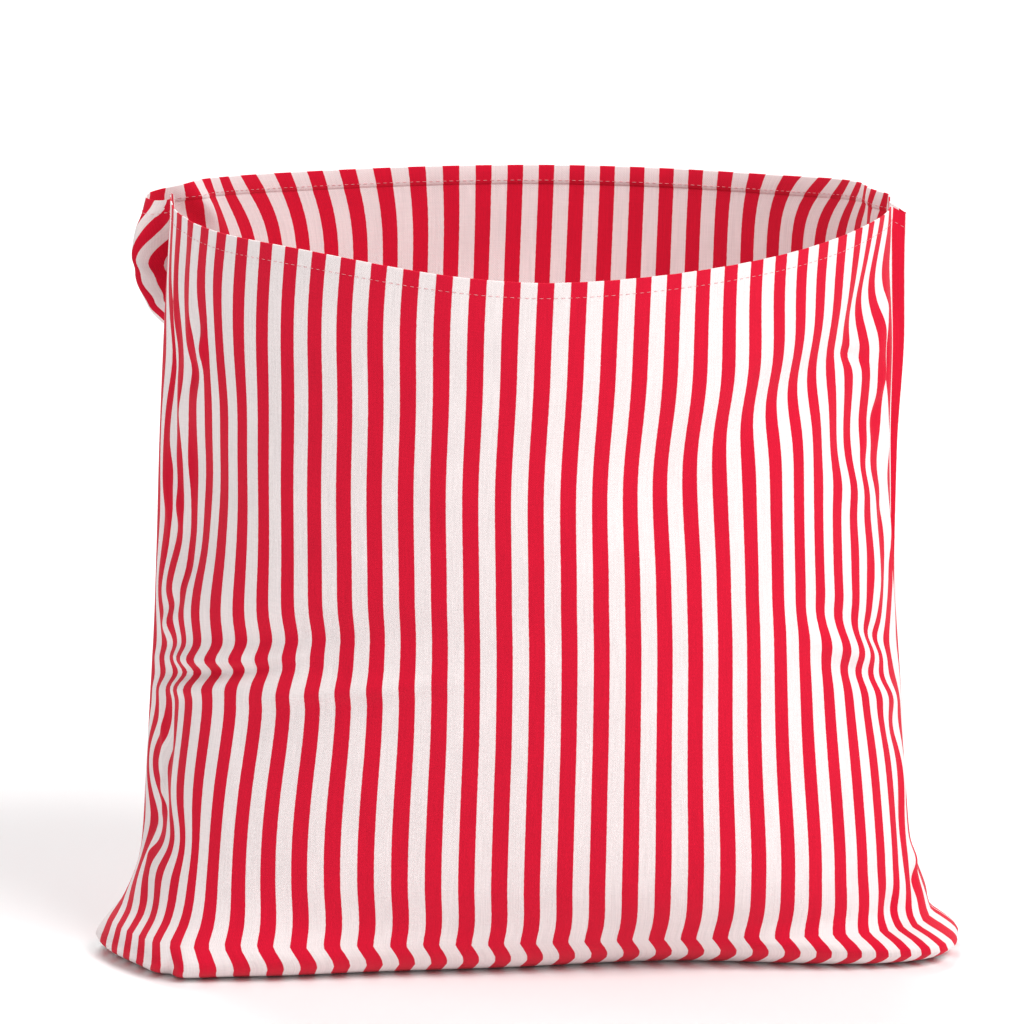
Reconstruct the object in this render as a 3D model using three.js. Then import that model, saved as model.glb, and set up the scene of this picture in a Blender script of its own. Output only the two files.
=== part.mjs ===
// A striped cloth bread bag standing open on its own base.
// Millimetres, +Z up, the front of the bag looks towards -Y.
import * as THREE from "three";

// Sizes of the cloth.
const CLOTH_WIDTH = 416; // one panel, side seam to side seam
const CLOTH_HEIGHT = 342; // one panel, bottom seam to rim
const CLOTH_THICK = 1.5;
const HEM_DEPTH = 7.5; // the turned-in band at the rim
const HEM_THICK = 2.4;
const HEM_STEP = 0.5; // rise from the single cloth to the hem
const SEAM_GAP = 0.3; // between the two panels where they are sewn
const BASE_ROLL = 12; // half the cloth that bends from base to wall
const TIP_DEPTH = 10; // the least width of base, at the two bottom corners
const FIN_BLEND = 3; // fin width at which the two panels stand a full cloth apart
const SQUARE_BLEND = 0.8; // how gently the left squareness passes into the right one

// Heights of the rim above the floor.
const RIM_AT_SEAMS = 307.5;
const RIM_HIGHEST = 312;

// Thinning of the cloth at the two bottom corners, and how far it reaches.
const TIP_THIN = 0.5;
const TIP_ACROSS = 14;
const TIP_TALL = 10;

// Mesh steps.
const STEPS_ACROSS = 40;
const EDGE_CROWDING = 0.5; // 0 spaces the steps evenly, 1 crowds them at the seams
const STEPS_BASE = 3;
const STEPS_ROLL = 3;
const STEPS_WALL = 14;
const ROLL_SHARE = 0.3; // rows crowd within this share of the base edge
const LEVEL_STEP = 3; // between the plan outlines that are worked out
const OUTLINE_STEPS = 240;
const SLACK_POWER = 4; // how close to the seams the spare width is taken up

// Plan outline of the bag at each height: reach of the seams to the left and the right,
// depth of the front and the back, squareness of the curve towards each seam (2 is an
// ellipse), the width of the flat fin beside the right seam, and how far the middle of the
// cloth lies to the right.
const OUTLINE_NAMES = ["z", "left", "right", "front", "back", "squareLeft", "squareRight", "fin", "drift"];
const OUTLINE_ROWS = [
  [0, 174, 172, 43, 44, 2.5, 2.4, 0, -5],
  [9, 170, 170.5, 57, 53, 2.55, 2.4, 0, -1],
  [18, 163, 163, 62, 58, 2.6, 2.4, 0, 0.5],
  [41, 157, 156, 69, 66, 2.65, 2.4, 0, 1.8],
  [75, 154, 153, 75, 72, 2.4, 2.25, 0, 2.8],
  [107, 152, 151, 80, 78, 2.1, 2.05, 0, 3.2],
  [140, 150, 149, 85, 84, 2, 2, 0.5, 3.2],
  [164, 149, 148, 89, 88, 1.98, 1.95, 1.5, 3.2],
  [205, 147.5, 148.5, 95, 95, 1.98, 1.88, 2.8, 2.6],
  [255, 145, 151, 101, 101, 2, 1.84, 5, 3.4],
  [302, 142, 151, 105, 105, 2, 1.8, 6, 4.2],
];
const OUTLINES = named(OUTLINE_NAMES, OUTLINE_ROWS);

// Folds and swellings: where each is centred across the cloth (from the left seam) and up
// from the floor, its half width across, its half height, the lean of its long side from
// upright in degrees, and how far it pushes the cloth outward (inward below zero).
const FOLD_NAMES = ["across", "z", "wide", "tall", "lean", "push"];
const FRONT_FOLD_ROWS = [
  [78, 0, 56, 30, 0, 18], // foot spreads at the left
  [262, 0, 66, 25, 0, -10], // foot drawn in at the right
  [26, 245, 16, 22, 0, -3], // hollows down the left side
  [52, 200, 26, 30, 0, -7],
  [40, 172, 24, 16, -12, -4],
  [30, 125, 20, 16, 0, -3.5],
  [32, 82, 19, 34, 0, -6],
  [104, 138, 52, 10, 8, -4.5], // long crease, left side
  [84, 126, 44, 8, 8, 2], // ridge under it
  [318, 238, 46, 16, 24, -6], // trough falling from the right rim corner
  [262, 205, 32, 30, 30, -5],
  [362, 222, 24, 30, 0, -5.5], // flat stretch beside the right seam
  [366, 268, 10, 18, -14, -3], // tuck beside the right seam
];
const BACK_FOLD_ROWS = [
  [32, 284, 12, 24, 0, 16], // rolled ridge of the flared ear
  [36, 308, 16, 14, 0, 5], // lip of the ear at the rim
  [28, 250, 16, 9, 0, -7], // where the ear turns back in
  [380, 292, 22, 24, 12, -5], // tuck at the right rim corner
  [70, 150, 50, 16, 0, -6], // crease, left side
  [190, 210, 60, 30, 0, -6], // broad dent
  [330, 120, 44, 20, 0, -7], // dent, lower right
  [350, 0, 50, 30, 0, 12], // foot spreads at the right
];
const FRONT_FOLDS = named(FOLD_NAMES, FRONT_FOLD_ROWS);
const BACK_FOLDS = named(FOLD_NAMES, BACK_FOLD_ROWS);

// Stretches of the rim that stand higher.
const SEAM_RISES = [
  { across: 400, wide: 20, rise: -1.5 },
  { across: 418, wide: 9, rise: -7 },
];
const FRONT_RISES = [{ across: 115, wide: 56, rise: 4.2 }];
const BACK_RISES = [
  { across: 26, wide: 14, rise: -6 },
  { across: 46, wide: 46, rise: 1.6 },
  { across: 366, wide: 42, rise: 2 },
];

const PANELS = [
  {
    name: "front_panel",
    side: -1,
    depth: "front",
    rim: 290,
    sag: 1.52,
    folds: FRONT_FOLDS,
    rises: FRONT_RISES,
  },
  {
    name: "back_panel",
    side: 1,
    depth: "back",
    rim: 303,
    sag: 2.2,
    folds: BACK_FOLDS,
    rises: BACK_RISES,
  },
];

const clamp = (value, low, high) => Math.min(Math.max(value, low), high);

// Rows of a table as objects with named columns.
function named(names, rows) {
  return rows.map((row) => Object.fromEntries(names.map((name, k) => [name, row[k]])));
}

// Smooth curve through one column of the outline table, without overshoot.
function column(name, z) {
  const rows = OUTLINES;
  const last = rows.length - 1;
  let i = 0;
  while (i < last - 1 && z > rows[i + 1].z) {
    i += 1;
  }
  const secant = (k) => (rows[k + 1][name] - rows[k][name]) / (rows[k + 1].z - rows[k].z);
  const slope = (k) => {
    const before = secant(Math.max(k - 1, 0));
    const after = secant(Math.min(k, last - 1));
    return before * after <= 0 ? 0 : (2 * before * after) / (before + after);
  };
  const step = rows[i + 1].z - rows[i].z;
  const t = clamp((z - rows[i].z) / step, 0, 1);
  const rise = t * t * (3 - 2 * t);
  const start = slope(i) * step * t * (1 - t) * (1 - t);
  const end = -slope(i + 1) * step * t * t * (1 - t);
  return rows[i][name] + (rows[i + 1][name] - rows[i][name]) * rise + start + end;
}

// Outline of one panel at height z, as points spaced evenly along the curve.
function outline(panel, z) {
  const fin = column("fin", z);
  const edge = SEAM_GAP / 2 + CLOTH_THICK * Math.min(fin / FIN_BLEND, 1);
  const squareLeft = column("squareLeft", z);
  const squareRight = column("squareRight", z);
  const left = column("left", z);
  const right = column("right", z) - fin;
  const depth = column(panel.depth, z);
  const middle = (right - left) / 2;
  const reach = (right + left) / 2;
  const points = [];
  for (let k = 0; k <= OUTLINE_STEPS; k += 1) {
    const angle = (Math.PI * k) / OUTLINE_STEPS;
    const turn = Math.cos(angle);
    const blend = 0.5 - 0.5 * Math.sign(turn) * Math.abs(turn) ** SQUARE_BLEND;
    const power = 2 / (squareLeft * (1 - blend) + squareRight * blend);
    const away = Math.sign(turn) * Math.abs(turn) ** power;
    const sine = Math.abs(Math.sin(angle)) ** power;
    points.push([middle - reach * away, edge + (depth - edge) * sine]);
  }
  if (fin > 0) {
    points.push([right + fin, edge]);
  }
  const along = [0];
  for (let k = 1; k < points.length; k += 1) {
    const length = Math.hypot(points[k][0] - points[k - 1][0], points[k][1] - points[k - 1][1]);
    along.push(along[k - 1] + length);
  }
  return { points, along, total: along[along.length - 1], drift: column("drift", z) };
}

// Point of an outline for a position across the cloth; spare width is taken up at the seams.
function pick(curve, across) {
  const half = CLOTH_WIDTH / 2;
  const share = (across - half) / half;
  const spare = (CLOTH_WIDTH - curve.total) / 2;
  const taken = spare * Math.sign(share) * Math.abs(share) ** SLACK_POWER;
  const drifted = share * half - taken + curve.drift * (1 - share ** 2);
  const target = clamp(curve.total / 2 + drifted, 0, curve.total);
  let low = 0;
  let high = curve.along.length - 1;
  while (high - low > 1) {
    const centre = (low + high) >> 1;
    if (curve.along[centre] <= target) {
      low = centre;
    } else {
      high = centre;
    }
  }
  const t = (target - curve.along[low]) / (curve.along[high] - curve.along[low]);
  const [x0, y0] = curve.points[low];
  const [x1, y1] = curve.points[high];
  return [x0 + (x1 - x0) * t, y0 + (y1 - y0) * t];
}

// How far the folds push the cloth outward at one place.
function push(folds, across, z) {
  let total = 0;
  for (const fold of folds) {
    const lean = (fold.lean * Math.PI) / 180;
    const dx = across - fold.across;
    const dz = z - fold.z;
    const side = dx * Math.cos(lean) + dz * Math.sin(lean);
    const up = dz * Math.cos(lean) - dx * Math.sin(lean);
    total += fold.push * Math.exp(-((side / fold.wide) ** 2) - (up / fold.tall) ** 2);
  }
  const fromSeam = Math.min(across, CLOTH_WIDTH - across);
  return total * (1 - Math.exp(-((fromSeam / 7) ** 2)));
}

// The plan position of a place on a panel at height z, and which way is outward there.
function plan(panel, levels, across, z) {
  const level = clamp(z / LEVEL_STEP, 0, levels.length - 1.001);
  const below = levels[Math.floor(level)];
  const above = levels[Math.floor(level) + 1];
  const t = level - Math.floor(level);
  const spot = (position) => {
    const low = pick(below, position);
    const high = pick(above, position);
    return [low[0] + (high[0] - low[0]) * t, low[1] + (high[1] - low[1]) * t];
  };
  const here = spot(across);
  const before = spot(Math.max(across - 3, 0));
  const after = spot(Math.min(across + 3, CLOTH_WIDTH));
  const run = Math.hypot(after[0] - before[0], after[1] - before[1]);
  const outX = (before[1] - after[1]) / run;
  const outY = (after[0] - before[0]) / run;
  const out = push(panel.folds, across, z);
  return { x: here[0] + out * outX, y: here[1] + out * outY, outX, outY };
}

// A straight ramp from zero whose start is rounded over a given half width.
function ramp(value, round) {
  if (value <= -round) {
    return 0;
  }
  if (value >= round) {
    return value;
  }
  return (value + round) ** 2 / (4 * round);
}

// Where the base ends and the wall begins, and how tightly the cloth bends there.
function foot(panel, levels, across) {
  const edge = Math.max(plan(panel, levels, across, 0).y, TIP_DEPTH);
  return { edge, round: Math.min(BASE_ROLL, edge) };
}

// A point of the cloth, across from the left seam and up from the bottom seam: on the outer
// face with no inset, on the inner face with the thickness as inset.
function surface(panel, levels, across, up, inset) {
  const { edge, round } = foot(panel, levels, across);
  const share = Math.abs((2 * across) / CLOTH_WIDTH - 1);
  let rim = panel.rim + (RIM_AT_SEAMS - panel.rim) * share ** panel.sag;
  for (const swell of [...panel.rises, ...SEAM_RISES]) {
    const away = (across - swell.across) / swell.wide;
    rim += swell.rise * Math.exp(-(away ** 2));
  }
  const z = (rim * ramp(up - edge, round)) / ramp(CLOTH_HEIGHT - edge, round);
  const fromSeam = Math.min(across, CLOTH_WIDTH - across) / TIP_ACROSS;
  const thin = TIP_THIN * Math.exp(-(fromSeam ** 2) - (z / TIP_TALL) ** 2);
  const thick = inset * (1 - thin);
  const { x, y, outX, outY } = plan(panel, levels, across, z);
  const inward = 1 - ramp(edge - up, round) / ramp(edge, round);
  const upright = clamp((up - edge + round) / (2 * round), 0, 1);
  const lift = thick * (1 - upright * upright);
  const { left, right } = OUTLINES[0];
  const seam = ((left + right) * across) / CLOTH_WIDTH - left;
  const sideways = seam + (x - seam) * inward - thick * outX;
  const depth = Math.max((y - thick * outY) * inward, SEAM_GAP / 2);
  return [sideways, panel.side * depth, z + lift];
}

// Even steps between two stops, leaving out the last.
function steps(from, to, count) {
  return Array.from({ length: count }, (_, k) => from + ((to - from) * k) / count);
}

// Heights on the cloth of the mesh rows, which follow the edge of the base.
function rowsAt(panel, levels, across) {
  const { edge } = foot(panel, levels, across);
  const rollStart = edge * (1 - ROLL_SHARE);
  const rollEnd = edge * (1 + ROLL_SHARE);
  const hem = CLOTH_HEIGHT - HEM_DEPTH;
  return [
    ...steps(0, rollStart, STEPS_BASE),
    ...steps(rollStart, rollEnd, STEPS_ROLL),
    ...steps(rollEnd, hem - HEM_STEP, STEPS_WALL),
    hem - HEM_STEP,
    hem,
    CLOTH_HEIGHT,
  ];
}

function buildPanel(panel) {
  const levels = [];
  for (let z = 0; z <= RIM_HIGHEST; z += LEVEL_STEP) {
    levels.push(outline(panel, z));
  }
  const acrossList = [];
  for (let k = 0; k <= STEPS_ACROSS; k += 1) {
    const share = k / STEPS_ACROSS;
    const crowd = (EDGE_CROWDING * Math.sin(2 * Math.PI * share)) / (2 * Math.PI);
    acrossList.push(CLOTH_WIDTH * (share - crowd));
  }
  const upLists = acrossList.map((across) => rowsAt(panel, levels, across));
  const hem = CLOTH_HEIGHT - HEM_DEPTH;

  // Points of the outer face, then of the inner face.
  const columns = acrossList.length;
  const rows = upLists[0].length;
  const positions = [];
  const inner = [];
  for (let r = 0; r < rows; r += 1) {
    for (let c = 0; c < columns; c += 1) {
      const across = acrossList[c];
      const up = upLists[c][r];
      const thick = up >= hem ? HEM_THICK : CLOTH_THICK;
      positions.push(...surface(panel, levels, across, up, 0));
      inner.push(...surface(panel, levels, across, up, thick));
    }
  }
  positions.push(...inner);

  // Faces: both sides of the cloth and a strip along each of the four edges.
  const index = [];
  const sheet = columns * rows;
  const at = (c, r) => r * columns + c;
  const quad = (a, b, c, d) => {
    const corners = panel.side < 0 ? [a, b, c, a, c, d] : [a, c, b, a, d, c];
    index.push(...corners);
  };
  for (let r = 0; r < rows - 1; r += 1) {
    for (let c = 0; c < columns - 1; c += 1) {
      quad(at(c, r), at(c + 1, r), at(c + 1, r + 1), at(c, r + 1));
      quad(
        sheet + at(c, r),
        sheet + at(c, r + 1),
        sheet + at(c + 1, r + 1),
        sheet + at(c + 1, r),
      );
    }
  }
  for (let c = 0; c < columns - 1; c += 1) {
    quad(at(c, 0), sheet + at(c, 0), sheet + at(c + 1, 0), at(c + 1, 0));
    const top = rows - 1;
    quad(at(c, top), at(c + 1, top), sheet + at(c + 1, top), sheet + at(c, top));
  }
  for (let r = 0; r < rows - 1; r += 1) {
    quad(at(0, r), at(0, r + 1), sheet + at(0, r + 1), sheet + at(0, r));
    const end = columns - 1;
    quad(at(end, r), sheet + at(end, r), sheet + at(end, r + 1), at(end, r + 1));
  }
  const geometry = new THREE.BufferGeometry();
  geometry.setAttribute("position", new THREE.Float32BufferAttribute(positions, 3));
  geometry.setIndex(index);
  geometry.computeVertexNormals();
  const cloth = new THREE.MeshStandardMaterial({
    color: 0xe07a86,
    roughness: 0.9,
    metalness: 0,
  });
  const mesh = new THREE.Mesh(geometry, cloth);
  mesh.name = panel.name;
  return mesh;
}

const bag = new THREE.Group();
bag.name = "bread_bag";
for (const panel of PANELS) {
  bag.add(buildPanel(panel));
}

export default bag;
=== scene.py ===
"""A striped cotton bread bag standing open on a pale floor. Metres, +Z up, front towards -Y."""

from collections import namedtuple

import bpy
import numpy as np
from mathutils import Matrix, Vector


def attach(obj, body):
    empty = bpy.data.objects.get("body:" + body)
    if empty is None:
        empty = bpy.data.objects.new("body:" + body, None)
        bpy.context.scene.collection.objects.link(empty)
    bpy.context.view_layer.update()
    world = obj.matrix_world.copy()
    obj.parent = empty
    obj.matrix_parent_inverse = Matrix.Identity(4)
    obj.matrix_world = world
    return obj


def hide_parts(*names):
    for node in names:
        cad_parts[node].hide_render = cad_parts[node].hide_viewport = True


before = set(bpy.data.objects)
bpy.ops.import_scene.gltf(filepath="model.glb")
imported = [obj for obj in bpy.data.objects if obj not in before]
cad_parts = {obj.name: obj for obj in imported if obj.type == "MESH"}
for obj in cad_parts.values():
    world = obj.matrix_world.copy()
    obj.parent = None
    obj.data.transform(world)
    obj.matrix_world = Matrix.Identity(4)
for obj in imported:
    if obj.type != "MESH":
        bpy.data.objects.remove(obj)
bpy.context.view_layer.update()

# Sizes of the cloth.
CLOTH_WIDTH = 0.416
CLOTH_HEIGHT = 0.342
HEM_DEPTH = 0.0075
HEM_ROLL = 0.00035
STRIPE_PITCH = 0.0127
FIRST_STRIPE = 0.0062
BASE_ROLL = 0.012
TIP_DEPTH = 0.010

# The cloth near its seams: how its slack gathers there, how far in the seam holds the folds
# down and the hem shut, how the two layers of the fin stand apart, and how the squareness of
# the plan changes from the left seam to the right one.
SLACK_POWER = 4
SEAM_REACH = 0.007
SEAM_PINCH = 0.7
FIN_BLEND = 0.003
FIN_STAND = 0.0012
FIN_POWER = 4
SQUARE_BLEND = 0.8

# Turned-in end of the hem: drop below the rim in hem depths, and inset in radii of the roll.
HemPoint = namedtuple("HemPoint", "drop inset")
HEM_END = [
    HemPoint(0.50, 2.0),
    HemPoint(0.80, 1.9),
    HemPoint(0.93, 1.5),
    HemPoint(1.00, 0.9),
    HemPoint(1.05, 0.2),
]

# Stitches: depth under the rim, pitch, half sizes of one stitch, facets, and how many mesh
# columns stay free beside each seam.
STITCH_DROP = 0.0062
STITCH_PITCH = 0.0028
STITCH_SIZE = (0.0009, 0.00014, 0.00010)
STITCH_SEGMENTS = 8
STITCH_RINGS = 6
STITCH_START = 4

# Rim above the floor: at the seams, and above everything the rim reaches.
RIM_AT_SEAMS = 0.3075
RIM_HIGHEST = 0.312

# Mesh of each panel, and the steps at which its shape is worked out.
STEPS_ACROSS = 360
STEPS_BASE = 30
STEPS_ROLL = 20
STEPS_WALL = 210
STEPS_HEM = 5
ROLL_SHARE = 0.3
EDGE_CROWDING = 0.55
LEVEL_STEP = 0.003
OUTLINE_STEPS = 400
SLOPE_REACH = 0.003
HAIR = 1e-6

# Cotton: two colours, finish, stripe edges and weave.
WHITE_COTTON = (0.86, 0.775, 0.77, 1)
RED_COTTON = (0.66, 0.0065, 0.032, 1)
COTTON_ROUGHNESS = 0.9
COTTON_SPECULAR = 0.1
COTTON_SHEEN = 0.08
COTTON_SHEEN_ROUGHNESS = 0.5
HALF_STRIPE = 0.25
EDGE_BLUR = 0.010
YARNS_PER_PITCH = 26
WEAVE_HEIGHT = 0.00005
WEAVE_STRENGTH = 0.6
CRUMPLE_SHARE = 9.0
YARN_SHARE = 3.0

# Unevenness of the cloth: noise per stripe pitch across the cloth, along it and in depth, its
# detail, the part of the noise that is used, and the values given at both ends of it.
Grain = namedtuple("Grain", "scale detail low high least most")
EDGE_GRAIN = Grain((30, 6, 1), 2, 0.0, 1.0, -0.012, 0.012)
WARP_GRAIN = Grain((26, 0.7, 1), 2, 0.3, 0.7, 0.93, 1.04)
WEFT_GRAIN = Grain((1.2, 26, 3), 2, 0.3, 0.7, 0.975, 1.02)
WEAR_GRAIN = Grain((0.8, 0.5, 5), 4, 0.3, 0.7, 0.97, 1.02)
CRUMPLE_GRAIN = Grain((0.9, 0.5, 7), 3, 0.0, 1.0, 0.0, 1.0)

# Sewing thread: flecks per metre between two pinks.
THREAD_GRAIN = Grain((900, 900, 900), 2, 0.3, 0.7, 0.0, 1.0)
THREAD_DARK = (0.66, 0.22, 0.25, 1)
THREAD_LIGHT = (0.78, 0.36, 0.38, 1)
THREAD_ROUGHNESS = 0.7
THREAD_SHEEN = 0.2

# Floor and camera.
FLOOR_SIZE = 8.0
FLOOR_COLOUR = (0.95, 0.95, 0.95, 1)
FLOOR_ROUGHNESS = 0.8
CAMERA_SPOT = (0.0, -2.7336, 0.7560)
CAMERA_AIM = (-0.006, 0.006, 0.1773)
CAMERA_LENS = 244.5
CAMERA_SENSOR = 36.0
CAMERA_REACH = 50

# Lights: where each stands, where it points, its power in watts, its width, and the spread of
# its beam in degrees. The card lights the inside of the mouth from above.
Light = namedtuple("Light", "name spot aim power width spread")
LIGHTS = [
    Light("key", (3.4, -3.0, 5.0), (0, 0, 0.15), 330, 3.2, 180),
    Light("back", (-1.0, 4.0, 4.5), (0, 0, 0.15), 180, 3.0, 180),
    Light("card", (-0.30, 0.02, 0.74), (0.15, 0.05, 0.27), 0.2, 0.2, 60),
]
WORLD_COLOUR = (1, 1, 1, 1)
WORLD_STRENGTH = 0.52

# Plan outline at each height: reach of the seams, depth of the two panels, squareness of the
# curve towards each seam (2 is an ellipse), the fin beside the right seam, and how far the
# middle of the cloth lies to the right.
Outline = namedtuple("Outline", "z left right front back square_l square_r fin drift")
OUTLINES = [
    #       z       left    right   front   back    sq_l  sq_r  fin      drift
    Outline(0.0000, 0.1720, 0.1738, 0.0520, 0.0440, 2.50, 4.30, 0.0000, -0.0080),
    Outline(0.0060, 0.1724, 0.1755, 0.0560, 0.0500, 2.50, 4.50, 0.0000, -0.0048),
    Outline(0.0115, 0.1690, 0.1700, 0.0600, 0.0540, 2.60, 3.60, 0.0000, -0.0026),
    Outline(0.0145, 0.1668, 0.1645, 0.0615, 0.0560, 2.60, 2.80, 0.0000, -0.0006),
    Outline(0.0220, 0.1612, 0.1620, 0.0630, 0.0590, 2.60, 2.40, 0.0000,  0.0007),
    Outline(0.0410, 0.1563, 0.1560, 0.0690, 0.0660, 2.65, 2.40, 0.0000,  0.0018),
    Outline(0.0750, 0.1540, 0.1530, 0.0750, 0.0720, 2.40, 2.25, 0.0000,  0.0028),
    Outline(0.1070, 0.1520, 0.1510, 0.0800, 0.0780, 2.10, 2.05, 0.0000,  0.0032),
    Outline(0.1400, 0.1500, 0.1490, 0.0850, 0.0840, 2.00, 2.00, 0.0005,  0.0032),
    Outline(0.1640, 0.1490, 0.1480, 0.0890, 0.0880, 1.98, 1.95, 0.0015,  0.0032),
    Outline(0.2050, 0.1475, 0.1485, 0.0950, 0.0950, 1.98, 1.88, 0.0028,  0.0026),
    Outline(0.2550, 0.1450, 0.1510, 0.1010, 0.1010, 2.00, 1.84, 0.0050,  0.0034),
    Outline(0.3020, 0.1420, 0.1510, 0.1050, 0.1050, 2.00, 1.80, 0.0060,  0.0042),
]

# Folds: centre across the cloth and up from the floor, half width, half height, lean of the
# fold in degrees, the push outward (inward below zero) and the slide to the right along the
# cloth (to the left below zero).
Fold = namedtuple("Fold", "across z wide tall lean push slide", defaults=[0.0])
FRONT_FOLDS = [
    #    across z       wide    tall    lean push     slide
    # The foot spreads at the left and is drawn in at the right.
    Fold(0.078, 0.0000, 0.0560, 0.0300,   0,  0.0180),
    Fold(0.270, 0.0000, 0.0620, 0.0220,   0, -0.0140),
    Fold(0.068, 0.0000, 0.0160, 0.0140,   0,  0.0080),
    # Near the floor the cloth is drawn from the middle towards both corners.
    Fold(0.104, 0.0550, 0.0560, 0.0460,   0,  0.0000, -0.0045),
    Fold(0.312, 0.0400, 0.0600, 0.0400,   0,  0.0000,  0.0032),
    Fold(0.060, 0.0340, 0.0150, 0.0340,   0,  0.0000,  0.0035),
    # Under the rim it lies fuller towards the left.
    Fold(0.130, 0.2750, 0.0550, 0.0380,   0,  0.0000, -0.0030),
    Fold(0.052, 0.2680, 0.0140, 0.0380,   0,  0.0000,  0.0060),
    # Hollows down the left side.
    Fold(0.026, 0.2450, 0.0160, 0.0220,   0, -0.0030),
    Fold(0.052, 0.2000, 0.0260, 0.0300,   0, -0.0070),
    Fold(0.082, 0.1860, 0.0220, 0.0480,   0,  0.0000,  0.0028),
    Fold(0.040, 0.1720, 0.0240, 0.0160, -12, -0.0040),
    Fold(0.030, 0.1250, 0.0200, 0.0160,   0, -0.0035),
    Fold(0.032, 0.0820, 0.0190, 0.0340,   0, -0.0060),
    Fold(0.026, 0.0540, 0.0120, 0.0120,  20, -0.0030),
    # Small tucks high on the left side.
    Fold(0.037, 0.2900, 0.0040, 0.0180,   0, -0.0010),
    Fold(0.044, 0.2620, 0.0035, 0.0140,  -4,  0.0012),
    Fold(0.030, 0.2560, 0.0030, 0.0220,   3,  0.0013),
    Fold(0.054, 0.2540, 0.0030, 0.0070,  -6,  0.0018),
    Fold(0.047, 0.2430, 0.0040, 0.0070,  14, -0.0022),
    Fold(0.022, 0.2400, 0.0030, 0.0300,  -3, -0.0013),
    Fold(0.036, 0.2280, 0.0030, 0.0140,   4,  0.0014),
    Fold(0.027, 0.2100, 0.0030, 0.0180,  -6, -0.0015),
    Fold(0.041, 0.2030, 0.0030, 0.0120,  -8,  0.0012),
    Fold(0.020, 0.1920, 0.0030, 0.0160,   8,  0.0013),
    Fold(0.033, 0.1840, 0.0035, 0.0090,  14,  0.0015),
    Fold(0.025, 0.1680, 0.0030, 0.0120, -10, -0.0013),
    Fold(0.044, 0.1600, 0.0060, 0.0080, -14, -0.0020),
    # Long level crease low on the left: a trough, a ridge, and a second trough under it.
    Fold(0.104, 0.1380, 0.0520, 0.0100,   8, -0.0045),
    Fold(0.070, 0.1290, 0.0440, 0.0036,   8,  0.0036),
    Fold(0.068, 0.1220, 0.0400, 0.0032,   9, -0.0032),
    Fold(0.130, 0.1215, 0.0440, 0.0045,   8,  0.0028),
    Fold(0.056, 0.1150, 0.0340, 0.0036,  10,  0.0020),
    Fold(0.028, 0.1360, 0.0080, 0.0045,  30,  0.0020),
    Fold(0.036, 0.1460, 0.0120, 0.0045,  20, -0.0016),
    # Pleats in the flank above the left corner.
    Fold(0.024, 0.1000, 0.0035, 0.0140,   6,  0.0013),
    Fold(0.036, 0.0920, 0.0035, 0.0140,   4, -0.0012),
    Fold(0.030, 0.0720, 0.0035, 0.0120,  16,  0.0014),
    Fold(0.042, 0.0620, 0.0050, 0.0080,  30, -0.0014),
    Fold(0.034, 0.0460, 0.0050, 0.0070,  35,  0.0018),
    Fold(0.046, 0.0260, 0.0050, 0.0100,  20, -0.0014),
    # The hem of the foot is tucked under beside the left corner.
    Fold(0.066, 0.0040, 0.0035, 0.0060, -20, -0.0045),
    # Long soft trough falling from the right rim corner towards the middle.
    Fold(0.318, 0.2380, 0.0460, 0.0160,  24, -0.0060),
    Fold(0.262, 0.2050, 0.0320, 0.0300,  30, -0.0050),
    # The right side lies flat between its ridge and the seam.
    Fold(0.362, 0.2220, 0.0240, 0.0300,   0, -0.0055),
    Fold(0.352, 0.2500, 0.0280, 0.0600,   0,  0.0000, -0.0045),
    Fold(0.354, 0.1650, 0.0300, 0.0450,   0,  0.0000, -0.0045),
    # Tucks beside the right seam.
    Fold(0.366, 0.2680, 0.0100, 0.0180, -14, -0.0030),
    Fold(0.364, 0.2490, 0.0100, 0.0035, -18, -0.0020),
    Fold(0.384, 0.2580, 0.0060, 0.0160, -14,  0.0022),
    Fold(0.394, 0.2440, 0.0030, 0.0120,  12, -0.0020),
    Fold(0.386, 0.2380, 0.0030, 0.0100,   8,  0.0018),
    Fold(0.384, 0.2220, 0.0040, 0.0090, -22, -0.0022),
    Fold(0.393, 0.2100, 0.0035, 0.0120,  -8,  0.0018),
    Fold(0.372, 0.2120, 0.0060, 0.0090, -30,  0.0018),
    Fold(0.386, 0.1860, 0.0035, 0.0180,  -4, -0.0014),
    Fold(0.397, 0.1700, 0.0030, 0.0160,   6,  0.0014),
    Fold(0.377, 0.1560, 0.0045, 0.0120, -10,  0.0012),
    # Buckles down the right side.
    Fold(0.366, 0.1960, 0.0200, 0.0090, -20,  0.0022),
    Fold(0.346, 0.1460, 0.0220, 0.0065, -16, -0.0018),
    Fold(0.352, 0.1320, 0.0240, 0.0055, -16,  0.0018),
    Fold(0.372, 0.1340, 0.0100, 0.0050, -24, -0.0020),
    Fold(0.360, 0.1200, 0.0220, 0.0055, -18, -0.0020),
    Fold(0.376, 0.1100, 0.0160, 0.0060, -20,  0.0022),
    Fold(0.386, 0.0940, 0.0100, 0.0080, -18, -0.0014),
    Fold(0.392, 0.0740, 0.0045, 0.0160,  -6,  0.0013),
    Fold(0.384, 0.0540, 0.0045, 0.0140,  -6, -0.0012),
    # Drapes above the right corner.
    Fold(0.398, 0.0380, 0.0060, 0.0060,  40,  0.0024),
    Fold(0.392, 0.0290, 0.0070, 0.0040,  40, -0.0022),
    Fold(0.366, 0.0220, 0.0080, 0.0080,   0, -0.0026),
    Fold(0.372, 0.0120, 0.0120, 0.0060,   0,  0.0026),
]
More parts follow.
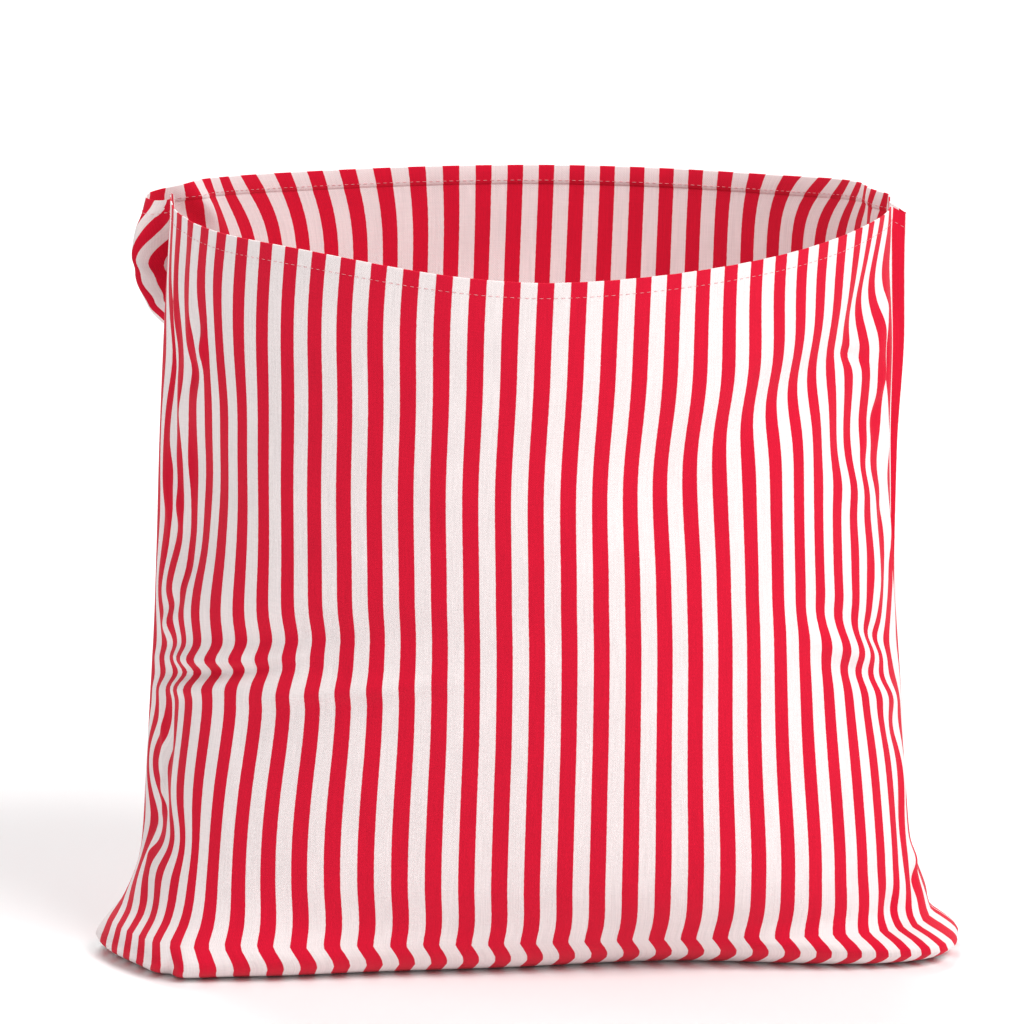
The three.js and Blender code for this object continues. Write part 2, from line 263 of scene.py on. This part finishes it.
BACK_FOLDS = [
    #    across z       wide    tall    lean push     slide
    # Flared ear at the left rim corner: a groove beside the seam, then the rolled ridge.
    Fold(0.018, 0.2800, 0.0090, 0.0170,   0, -0.0030,  0.0150),
    Fold(0.032, 0.2790, 0.0100, 0.0290,   0,  0.0180, -0.0120),
    Fold(0.036, 0.3080, 0.0160, 0.0140,   0,  0.0060),
    Fold(0.028, 0.2430, 0.0160, 0.0080,   0, -0.0080),
    Fold(0.046, 0.2780, 0.0080, 0.0180,   0,  0.0030),
    Fold(0.026, 0.2710, 0.0080, 0.0028,  28, -0.0022),
    Fold(0.022, 0.2600, 0.0080, 0.0030, -24,  0.0020),
    Fold(0.024, 0.2930, 0.0080, 0.0040, -34,  0.0022),
    # Tucks at the right rim corner.
    Fold(0.384, 0.2960, 0.0200, 0.0260,  12, -0.0040),
    Fold(0.396, 0.3020, 0.0080, 0.0180,   0,  0.0030),
    Fold(0.372, 0.3000, 0.0060, 0.0180,  24,  0.0010),
    # A roll of cloth beside the ear.
    Fold(0.050, 0.2980, 0.0040, 0.0160,  42, -0.0032),
    Fold(0.041, 0.2960, 0.0040, 0.0160,  42,  0.0024),
    # The foot lies in behind both corners.
    Fold(0.030, 0.0060, 0.0300, 0.0120,   0, -0.0100),
    Fold(0.385, 0.0040, 0.0300, 0.0120,   0, -0.0140),
    # Dents in the back.
    Fold(0.070, 0.1500, 0.0500, 0.0160,   0, -0.0060),
    Fold(0.190, 0.2100, 0.0600, 0.0300,   0, -0.0060),
    Fold(0.330, 0.1200, 0.0440, 0.0200,   0, -0.0070),
    Fold(0.350, 0.0000, 0.0500, 0.0300,   0,  0.0120),
]

# Places where the stripes run aslant because the cloth is pulled across itself: centre, half
# width, half height and how far the stripes lie to the right (to the left below zero).
Pull = namedtuple("Pull", "across z wide tall amount")
FRONT_PULLS = [
    #    across z      wide   tall   amount
    # Left side, from the rim down.
    Pull(0.052, 0.280, 0.020, 0.022, -0.0060),
    Pull(0.030, 0.246, 0.018, 0.020,  0.0045),
    Pull(0.065, 0.233, 0.020, 0.018,  0.0030),
    Pull(0.026, 0.191, 0.014, 0.016,  0.0045),
    Pull(0.034, 0.134, 0.018, 0.012,  0.0030),
    Pull(0.016, 0.079, 0.022, 0.014, -0.0145),
    Pull(0.044, 0.053, 0.016, 0.011,  0.0135),
    Pull(0.040, 0.016, 0.018, 0.018,  0.0130),
    Pull(0.024, 0.006, 0.012, 0.014,  0.0080),
    Pull(0.011, 0.010, 0.010, 0.020,  0.0065),
    Pull(0.026, 0.014, 0.018, 0.018,  0.0080),
    # Right side, from the rim down.
    Pull(0.330, 0.282, 0.045, 0.028, -0.0034),
    Pull(0.382, 0.280, 0.018, 0.022, -0.0135),
    Pull(0.386, 0.246, 0.010, 0.012, -0.0040),
    Pull(0.352, 0.215, 0.014, 0.030,  0.0028),
    Pull(0.380, 0.198, 0.014, 0.020, -0.0080),
    Pull(0.384, 0.128, 0.021, 0.026, -0.0170),
    Pull(0.384, 0.020, 0.016, 0.016, -0.0065),
    Pull(0.378, 0.008, 0.022, 0.014, -0.0090),
]
BACK_PULLS = [
    #    across z      wide   tall   amount
    Pull(0.016, 0.275, 0.019, 0.016,  0.0240),
    Pull(0.062, 0.316, 0.028, 0.028, -0.0171),
    Pull(0.105, 0.316, 0.050, 0.028, -0.0114),
    Pull(0.354, 0.316, 0.045, 0.020,  0.0240),
]

# Stretches of the rim that stand higher: centre, half width, rise.
Rise = namedtuple("Rise", "across wide rise")
SEAM_RISES = [Rise(0.400, 0.020, -0.0015), Rise(0.418, 0.009, -0.0070)]
FRONT_RISES = [Rise(0.115, 0.056, 0.0042)]
BACK_RISES = [
    Rise(0.026, 0.014, -0.0060),
    Rise(0.046, 0.046, 0.0016),
    Rise(0.366, 0.042, 0.0020),
]

Panel = namedtuple("Panel", "name side depth rim sag folds pulls rises")
FRONT = Panel("front_panel", -1, "front", 0.290, 1.52, FRONT_FOLDS, FRONT_PULLS, FRONT_RISES)
BACK = Panel("back_panel", 1, "back", 0.303, 2.20, BACK_FOLDS, BACK_PULLS, BACK_RISES)


def column(name, z):
    """Smooth curve through one column of the outline table, without overshoot."""
    heights = np.array([row.z for row in OUTLINES])
    values = np.array([getattr(row, name) for row in OUTLINES], float)
    secant = np.diff(values) / np.diff(heights)
    before = np.concatenate([secant[:1], secant])
    after = np.concatenate([secant, secant[-1:]])
    both = before * after
    slope = np.where(both > 0, 2 * both / np.where(both > 0, before + after, 1), 0)
    i = int(np.clip(np.searchsorted(heights, z, side="right") - 1, 0, len(heights) - 2))
    step = heights[i + 1] - heights[i]
    t = np.clip((z - heights[i]) / step, 0, 1)
    rise = t * t * (3 - 2 * t)
    bend = slope[i] * t * (1 - t) ** 2 - slope[i + 1] * t * t * (1 - t)
    return values[i] + (values[i + 1] - values[i]) * rise + step * bend


def outline_table(panel, across):
    """Plan outlines of a panel, one row per height, at the given places across the cloth."""
    half = CLOTH_WIDTH / 2
    share = (across - half) / half
    rows = []
    for z in np.arange(0, RIM_HIGHEST, LEVEL_STEP):
        fin = column("fin", z)
        edge = FIN_STAND * min(fin / FIN_BLEND, 1)
        left = column("left", z)
        right = column("right", z) - fin
        depth = column(panel.depth, z)
        angle = np.linspace(0, np.pi, OUTLINE_STEPS + 1)
        turn = np.cos(angle)
        blend = 0.5 - 0.5 * np.sign(turn) * np.abs(turn) ** SQUARE_BLEND
        square = column("square_l", z) * (1 - blend) + column("square_r", z) * blend
        power = 2 / square
        away = np.sign(turn) * np.abs(turn) ** power
        x = (right - left) / 2 - (right + left) / 2 * away
        stand = edge * (0.5 - 0.5 * turn) ** FIN_POWER
        y = stand + (depth - stand) * np.abs(np.sin(angle)) ** power
        x = np.append(x, right + fin + HAIR)
        y = np.append(y, 0)
        along = np.concatenate([[0], np.cumsum(np.hypot(np.diff(x), np.diff(y)))])
        spare = (CLOTH_WIDTH - along[-1]) / 2
        taken = spare * np.sign(share) * np.abs(share) ** SLACK_POWER
        target = along[-1] / 2 + share * half - taken
        target = target + column("drift", z) * (1 - share**2)
        rows.append([np.interp(target, along, x), np.interp(target, along, y)])
    return np.array(rows)


def between(table, z):
    """Values of a table of heights at one height for each place across."""
    level = np.clip(z / LEVEL_STEP, 0, len(table) - 1 - HAIR)
    low = np.floor(level).astype(int)
    place = np.arange(table.shape[2])
    mix = level - low
    return table[low, :, place].T * (1 - mix) + table[low + 1, :, place].T * mix


def folded(folds, across, z):
    """How far the folds push the cloth outward and slide it to the right."""
    out = np.zeros_like(across)
    right = np.zeros_like(across)
    for fold in folds:
        lean = np.radians(fold.lean)
        dx = across - fold.across
        dz = z - fold.z
        side = dx * np.cos(lean) + dz * np.sin(lean)
        up = dz * np.cos(lean) - dx * np.sin(lean)
        share = np.exp(-((side / fold.wide) ** 2) - (up / fold.tall) ** 2)
        out += fold.push * share
        right += fold.slide * share
    seam = np.minimum(across, CLOTH_WIDTH - across)
    free = 1 - np.exp(-((seam / SEAM_REACH) ** 2))
    return out * free, right * free


def pulled(pulls, across, z):
    """How far to the right the stripes lie at each point."""
    total = np.zeros_like(across)
    for pull in pulls:
        sideways = (across - pull.across) / pull.wide
        up = (z - pull.z) / pull.tall
        total += pull.amount * np.exp(-(sideways**2) - up**2)
    return total


def ramp(value, rounding):
    """A straight ramp from zero whose start is rounded."""
    bend = (value + rounding) ** 2 / (4 * rounding)
    return np.where(value <= -rounding, 0, np.where(value >= rounding, value, bend))


class Cloth:
    """The shape of one panel, worked out at fixed places across it."""

    def __init__(self, panel, across):
        self.panel = panel
        self.across = across
        self.here = outline_table(panel, across)
        self.west = outline_table(panel, np.maximum(across - SLOPE_REACH, 0))
        self.east = outline_table(panel, np.minimum(across + SLOPE_REACH, CLOTH_WIDTH))
        base = self.plan(np.zeros_like(across))[1]
        self.edge = np.maximum(base, TIP_DEPTH)
        self.rounding = np.minimum(BASE_ROLL, self.edge)
        seam = np.minimum(across, CLOTH_WIDTH - across)
        self.open = 1 - SEAM_PINCH * np.exp(-((seam / SEAM_REACH) ** 2))
        share = np.abs(2 * across / CLOTH_WIDTH - 1)
        self.rim = panel.rim + (RIM_AT_SEAMS - panel.rim) * share**panel.sag
        for rise in panel.rises + SEAM_RISES:
            away = (across - rise.across) / rise.wide
            self.rim += rise.rise * np.exp(-(away**2))

    def plan(self, z):
        """Plan position at one height for each place across, and the way outward."""
        x, y = between(self.here, z)
        x0, y0 = between(self.west, z)
        x1, y1 = between(self.east, z)
        run = np.hypot(x1 - x0, y1 - y0)
        out_x = (y0 - y1) / run
        out_y = (x1 - x0) / run
        out, slide = folded(self.panel.folds, self.across, z)
        x = x + out * out_x + slide * out_y
        y = y + out * out_y - slide * out_x
        return x, y, out_x, out_y

    def row(self, up, inset):
        """Points of the cloth at the given heights on it, one for each place across."""
        whole = ramp(CLOTH_HEIGHT - self.edge, self.rounding)
        z = self.rim * ramp(up - self.edge, self.rounding) / whole
        x, y, out_x, out_y = self.plan(z)
        inward = 1 - ramp(self.edge - up, self.rounding) / ramp(self.edge, self.rounding)
        inset = inset * self.open
        reach = OUTLINES[0].left + OUTLINES[0].right
        seam = reach * self.across / CLOTH_WIDTH - OUTLINES[0].left
        sideways = seam + (x - seam) * inward - inset * out_x
        depth = (y - inset * out_y) * inward
        return np.stack([sideways, self.panel.side * np.maximum(depth, 0), z], axis=-1)


def sheet_rows(cloth):
    """Heights on the cloth and inset of every mesh row, the turned-in hem last."""
    start = cloth.edge * (1 - ROLL_SHARE)
    end = cloth.edge * (1 + ROLL_SHARE)
    rows = []
    for k in range(STEPS_BASE):
        rows.append((start * k / STEPS_BASE, 0.0))
    for k in range(STEPS_ROLL):
        rows.append((start + (end - start) * k / STEPS_ROLL, 0.0))
    top = CLOTH_HEIGHT - HEM_ROLL
    for k in range(STEPS_WALL + 1):
        rows.append((end + (top - end) * k / STEPS_WALL, 0.0))
    for k in range(1, STEPS_HEM + 1):
        angle = np.pi * k / STEPS_HEM
        rows.append((top + HEM_ROLL * np.sin(angle), HEM_ROLL * (1 - np.cos(angle))))
    for point in HEM_END:
        rows.append((CLOTH_HEIGHT - HEM_DEPTH * point.drop, HEM_ROLL * point.inset))
    return rows


def columns_across():
    """Places across the cloth, closer together towards the seams."""
    share = np.linspace(0, 1, STEPS_ACROSS + 1)
    crowd = EDGE_CROWDING * np.sin(2 * np.pi * share) / (2 * np.pi)
    return CLOTH_WIDTH * (share - crowd)


def lay_pattern(mesh, panel, across, points):
    """Map the mesh to the flat cloth, in stripe pitches, with the cloth pulled across."""
    count, columns = points.shape[:2]
    travel = np.linalg.norm(np.diff(points, axis=0), axis=2).mean(axis=1)
    height = np.concatenate([[0], np.cumsum(travel)])
    wide = np.tile(across, count)
    u = (wide - pulled(panel.pulls, wide, points[..., 2].ravel())) / STRIPE_PITCH
    v = np.repeat(height, columns) / STRIPE_PITCH
    layer = mesh.uv_layers.new(name="Cloth")
    corner = np.empty(len(mesh.loops), int)
    mesh.loops.foreach_get("vertex_index", corner)
    layer.data.foreach_set("uv", np.stack([u[corner], v[corner]], axis=1).ravel())


def make_panel(panel, material):
    """One panel of the bag as a fine sheet with its hem turned in."""
    across = columns_across()
    cloth = Cloth(panel, across)
    points = np.array([cloth.row(up, inset) for up, inset in sheet_rows(cloth)])
    count, columns = points.shape[:2]
    column_at, row_at = np.meshgrid(np.arange(columns - 1), np.arange(count - 1))
    first = (row_at * columns + column_at).ravel()
    quads = np.stack([first, first + 1, first + columns + 1, first + columns], axis=1)
    if panel.side > 0:
        quads = quads[:, ::-1]
    mesh = bpy.data.meshes.new(panel.name + "_sheet")
    mesh.from_pydata(points.reshape(-1, 3).tolist(), [], quads.tolist())
    lay_pattern(mesh, panel, across, points)
    mesh.shade_smooth()
    mesh.materials.append(material)
    piece = bpy.data.objects.new(panel.name + "_cloth", mesh)
    bpy.context.scene.collection.objects.link(piece)
    return piece, cloth


def maths(tree, operation, a, b=0.0, c=0.0):
    """One maths node whose inputs are sockets or plain numbers."""
    made = tree.nodes.new("ShaderNodeMath")
    made.operation = operation
    for socket, value in zip(made.inputs, (a, b, c)):
        if isinstance(value, bpy.types.NodeSocket):
            tree.links.new(value, socket)
        else:
            socket.default_value = value
    return made.outputs[0]


def map_range(tree, value, low, high, least, most, smooth=False):
    """A value from low to high turned into one from least to most."""
    made = tree.nodes.new("ShaderNodeMapRange")
    if smooth:
        made.interpolation_type = "SMOOTHSTEP"
    tree.links.new(value, made.inputs[0])
    for socket, number in zip(made.inputs[1:5], (low, high, least, most)):
        socket.default_value = number
    return made.outputs[0]


def noise(tree, place, grain):
    """Noise at a place, stretched and scaled to the values that the grain gives."""
    stretch = tree.nodes.new("ShaderNodeVectorMath")
    stretch.operation = "MULTIPLY"
    tree.links.new(place, stretch.inputs[0])
    stretch.inputs[1].default_value = grain.scale
    made = tree.nodes.new("ShaderNodeTexNoise")
    made.inputs["Scale"].default_value = 1.0
    made.inputs["Detail"].default_value = grain.detail
    tree.links.new(stretch.outputs[0], made.inputs["Vector"])
    return map_range(tree, made.outputs[0], grain.low, grain.high, grain.least, grain.most)


def mixed(tree, share, first, second):
    """The first colour turning into the second one as the share grows."""
    made = tree.nodes.new("ShaderNodeMix")
    made.data_type = "RGBA"
    factor = next(socket for socket in made.inputs if socket.identifier == "Factor_Float")
    colours = [socket for socket in made.inputs if socket.type == "RGBA"]
    tree.links.new(share, factor)
    colours[0].default_value = first
    colours[1].default_value = second
    return next(socket for socket in made.outputs if socket.type == "RGBA")


def stripes(tree, place, across):
    """Red and white stripes, with edges that wander by part of a yarn."""
    wander = noise(tree, place, EDGE_GRAIN)
    shifted = maths(tree, "SUBTRACT", across, FIRST_STRIPE / STRIPE_PITCH - 0.5)
    phase = maths(tree, "FRACT", maths(tree, "ADD", shifted, wander))
    away = maths(tree, "ABSOLUTE", maths(tree, "SUBTRACT", phase, 0.5))
    red = map_range(tree, away, HALF_STRIPE + EDGE_BLUR, HALF_STRIPE - EDGE_BLUR, 0, 1, smooth=True)
    return mixed(tree, red, WHITE_COTTON, RED_COTTON)


def plain_weave(tree, across, along):
    """Height of warp and weft crossing over and under."""
    turn = np.pi * YARNS_PER_PITCH
    over = maths(tree, "SINE", maths(tree, "MULTIPLY", across, turn))
    under = maths(tree, "SINE", maths(tree, "MULTIPLY", along, turn))
    return maths(tree, "MULTIPLY", over, under)


def ticking_material():
    """Matt cotton woven with even red and white stripes along the cloth."""
    material = bpy.data.materials.new("striped_cotton")
    material.use_nodes = True
    tree = material.node_tree
    shader = tree.nodes["Principled BSDF"]
    shader.inputs["Roughness"].default_value = COTTON_ROUGHNESS
    shader.inputs["Specular IOR Level"].default_value = COTTON_SPECULAR
    shader.inputs["Sheen Weight"].default_value = COTTON_SHEEN
    shader.inputs["Sheen Roughness"].default_value = COTTON_SHEEN_ROUGHNESS
    uv = tree.nodes.new("ShaderNodeUVMap")
    uv.uv_map = "Cloth"
    place = uv.outputs[0]
    parts = tree.nodes.new("ShaderNodeSeparateXYZ")
    tree.links.new(place, parts.inputs[0])
    across, along = parts.outputs[0], parts.outputs[1]

    # Colour: stripes with uneven yarns both ways and soft wear.
    warp = noise(tree, place, WARP_GRAIN)
    weft = noise(tree, place, WEFT_GRAIN)
    wear = noise(tree, place, WEAR_GRAIN)
    tone = maths(tree, "MULTIPLY", maths(tree, "MULTIPLY", warp, weft), wear)
    tint = tree.nodes.new("ShaderNodeVectorMath")
    tint.operation = "SCALE"
    tree.links.new(stripes(tree, place, across), tint.inputs[0])
    tree.links.new(tone, tint.inputs["Scale"])
    tree.links.new(tint.outputs[0], shader.inputs["Base Color"])

    # Relief: the weave, uneven yarns and a soft crumple.
    crumple = noise(tree, place, CRUMPLE_GRAIN)
    height = plain_weave(tree, across, along)
    height = maths(tree, "MULTIPLY_ADD", crumple, CRUMPLE_SHARE, height)
    height = maths(tree, "MULTIPLY_ADD", warp, YARN_SHARE, height)
    bump = tree.nodes.new("ShaderNodeBump")
    bump.inputs["Strength"].default_value = WEAVE_STRENGTH
    bump.inputs["Distance"].default_value = WEAVE_HEIGHT
    tree.links.new(height, bump.inputs["Height"])
    tree.links.new(bump.outputs[0], shader.inputs["Normal"])
    return material


def thread_material():
    """Sewing thread, twisted and slightly uneven."""
    material = bpy.data.materials.new("sewing_thread")
    material.use_nodes = True
    tree = material.node_tree
    shader = tree.nodes["Principled BSDF"]
    shader.inputs["Roughness"].default_value = THREAD_ROUGHNESS
    shader.inputs["Sheen Weight"].default_value = THREAD_SHEEN
    spot = tree.nodes.new("ShaderNodeTexCoord")
    fleck = noise(tree, spot.outputs["Object"], THREAD_GRAIN)
    tree.links.new(mixed(tree, fleck, THREAD_DARK, THREAD_LIGHT), shader.inputs["Base Color"])
    return material


def stitch_tree(material):
    """Geometry nodes that lay stitches along a path, and the names of their two sizes."""
    tree = bpy.data.node_groups.new("stitches", "GeometryNodeTree")
    add = tree.interface.new_socket
    add("Path", in_out="INPUT", socket_type="NodeSocketGeometry")
    pitch = add("Stitch pitch", in_out="INPUT", socket_type="NodeSocketFloat")
    size = add("Stitch size", in_out="INPUT", socket_type="NodeSocketVector")
    add("Stitches", in_out="OUTPUT", socket_type="NodeSocketGeometry")
    nodes, links = tree.nodes, tree.links
    start = nodes.new("NodeGroupInput")
    end = nodes.new("NodeGroupOutput")
    curve = nodes.new("GeometryNodeMeshToCurve")
    spaced = nodes.new("GeometryNodeResampleCurve")
    stitch = nodes.new("GeometryNodeMeshUVSphere")
    place = nodes.new("GeometryNodeInstanceOnPoints")
    tangent = nodes.new("GeometryNodeInputTangent")
    align = nodes.new("FunctionNodeAlignRotationToVector")
    real = nodes.new("GeometryNodeRealizeInstances")
    paint = nodes.new("GeometryNodeSetMaterial")
    spaced.mode = "LENGTH"
    align.axis = "X"
    stitch.inputs["Segments"].default_value = STITCH_SEGMENTS
    stitch.inputs["Rings"].default_value = STITCH_RINGS
    stitch.inputs["Radius"].default_value = 1.0
    paint.inputs["Material"].default_value = material
    links.new(start.outputs["Path"], curve.inputs["Mesh"])
    links.new(curve.outputs[0], spaced.inputs["Curve"])
    links.new(start.outputs["Stitch pitch"], spaced.inputs["Length"])
    links.new(spaced.outputs[0], place.inputs["Points"])
    links.new(stitch.outputs["Mesh"], place.inputs["Instance"])
    links.new(tangent.outputs[0], align.inputs["Vector"])
    links.new(align.outputs[0], place.inputs["Rotation"])
    links.new(start.outputs["Stitch size"], place.inputs["Scale"])
    links.new(place.outputs[0], real.inputs[0])
    links.new(real.outputs[0], paint.inputs["Geometry"])
    links.new(paint.outputs[0], end.inputs["Stitches"])
    return tree, pitch.identifier, size.identifier


def make_stitches(panel, cloth, tree, pitch_socket, size_socket):
    """The row of stitches that holds the hem, on both faces of the cloth."""
    up = CLOTH_HEIGHT - STITCH_DROP
    lift = STITCH_SIZE[2] / 2
    inside = slice(STITCH_START, -STITCH_START)
    corners = []
    edges = []
    for inset in (-lift, 2 * HEM_ROLL + lift):
        line = cloth.row(up, inset)[inside]
        first = len(corners)
        corners += line.tolist()
        edges += [(k, k + 1) for k in range(first, len(corners) - 1)]
    mesh = bpy.data.meshes.new(panel.name + "_stitch_path")
    mesh.from_pydata(corners, edges, [])
    path = bpy.data.objects.new(panel.name + "_stitch_path", mesh)
    bpy.context.scene.collection.objects.link(path)
    modifier = path.modifiers.new("stitches", "NODES")
    modifier.node_group = tree
    modifier[pitch_socket] = STITCH_PITCH
    modifier[size_socket] = STITCH_SIZE
    graph = bpy.context.evaluated_depsgraph_get()
    made = bpy.data.meshes.new_from_object(path.evaluated_get(graph))
    path.modifiers.clear()
    bpy.data.objects.remove(path)
    made.name = panel.name + "_stitches"
    made.shade_smooth()
    stitches = bpy.data.objects.new(panel.name + "_stitches", made)
    bpy.context.scene.collection.objects.link(stitches)
    return stitches


def make_floor():
    """Plain pale floor under the bag."""
    mesh = bpy.data.meshes.new("floor")
    half = FLOOR_SIZE / 2
    corners = [(-half, -half, 0), (half, -half, 0), (half, half, 0), (-half, half, 0)]
    mesh.from_pydata(corners, [], [(0, 1, 2, 3)])
    material = bpy.data.materials.new("floor")
    material.use_nodes = True
    shader = material.node_tree.nodes["Principled BSDF"]
    shader.inputs["Base Color"].default_value = FLOOR_COLOUR
    shader.inputs["Roughness"].default_value = FLOOR_ROUGHNESS
    mesh.materials.append(material)
    floor = bpy.data.objects.new("floor", mesh)
    bpy.context.scene.collection.objects.link(floor)


def stand_and_aim(name, data, spot, aim):
    """Put a camera or a light in the scene, turned towards its aim."""
    made = bpy.data.objects.new(name, data)
    made.location = spot
    direction = Vector(aim) - Vector(spot)
    made.rotation_euler = direction.to_track_quat("-Z", "Y").to_euler()
    bpy.context.scene.collection.objects.link(made)
    return made


def make_camera():
    """Long lens at the photograph's angle, a little above the rim."""
    data = bpy.data.cameras.new("camera")
    data.lens = CAMERA_LENS
    data.sensor_width = CAMERA_SENSOR
    data.clip_end = CAMERA_REACH
    bpy.context.scene.camera = stand_and_aim("camera", data, CAMERA_SPOT, CAMERA_AIM)


def make_lights():
    """Soft studio light: three area lights and an even white surround."""
    for light in LIGHTS:
        data = bpy.data.lights.new(light.name, "AREA")
        data.energy = light.power
        data.size = light.width
        data.spread = np.radians(light.spread)
        stand_and_aim(light.name, data, light.spot, light.aim)
    world = bpy.data.worlds.new("world")
    world.use_nodes = True
    background = world.node_tree.nodes["Background"]
    background.inputs["Color"].default_value = WORLD_COLOUR
    background.inputs["Strength"].default_value = WORLD_STRENGTH
    bpy.context.scene.world = world


make_camera()
make_floor()
make_lights()
bpy.context.scene.view_settings.view_transform = "Standard"

cotton = ticking_material()
sewing, pitch_socket, size_socket = stitch_tree(thread_material())
for panel in (FRONT, BACK):
    piece, cloth = make_panel(panel, cotton)
    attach(piece, "root")
    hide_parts(panel.name)
    stitches = make_stitches(panel, cloth, sewing, pitch_socket, size_socket)
    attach(stitches, "root")
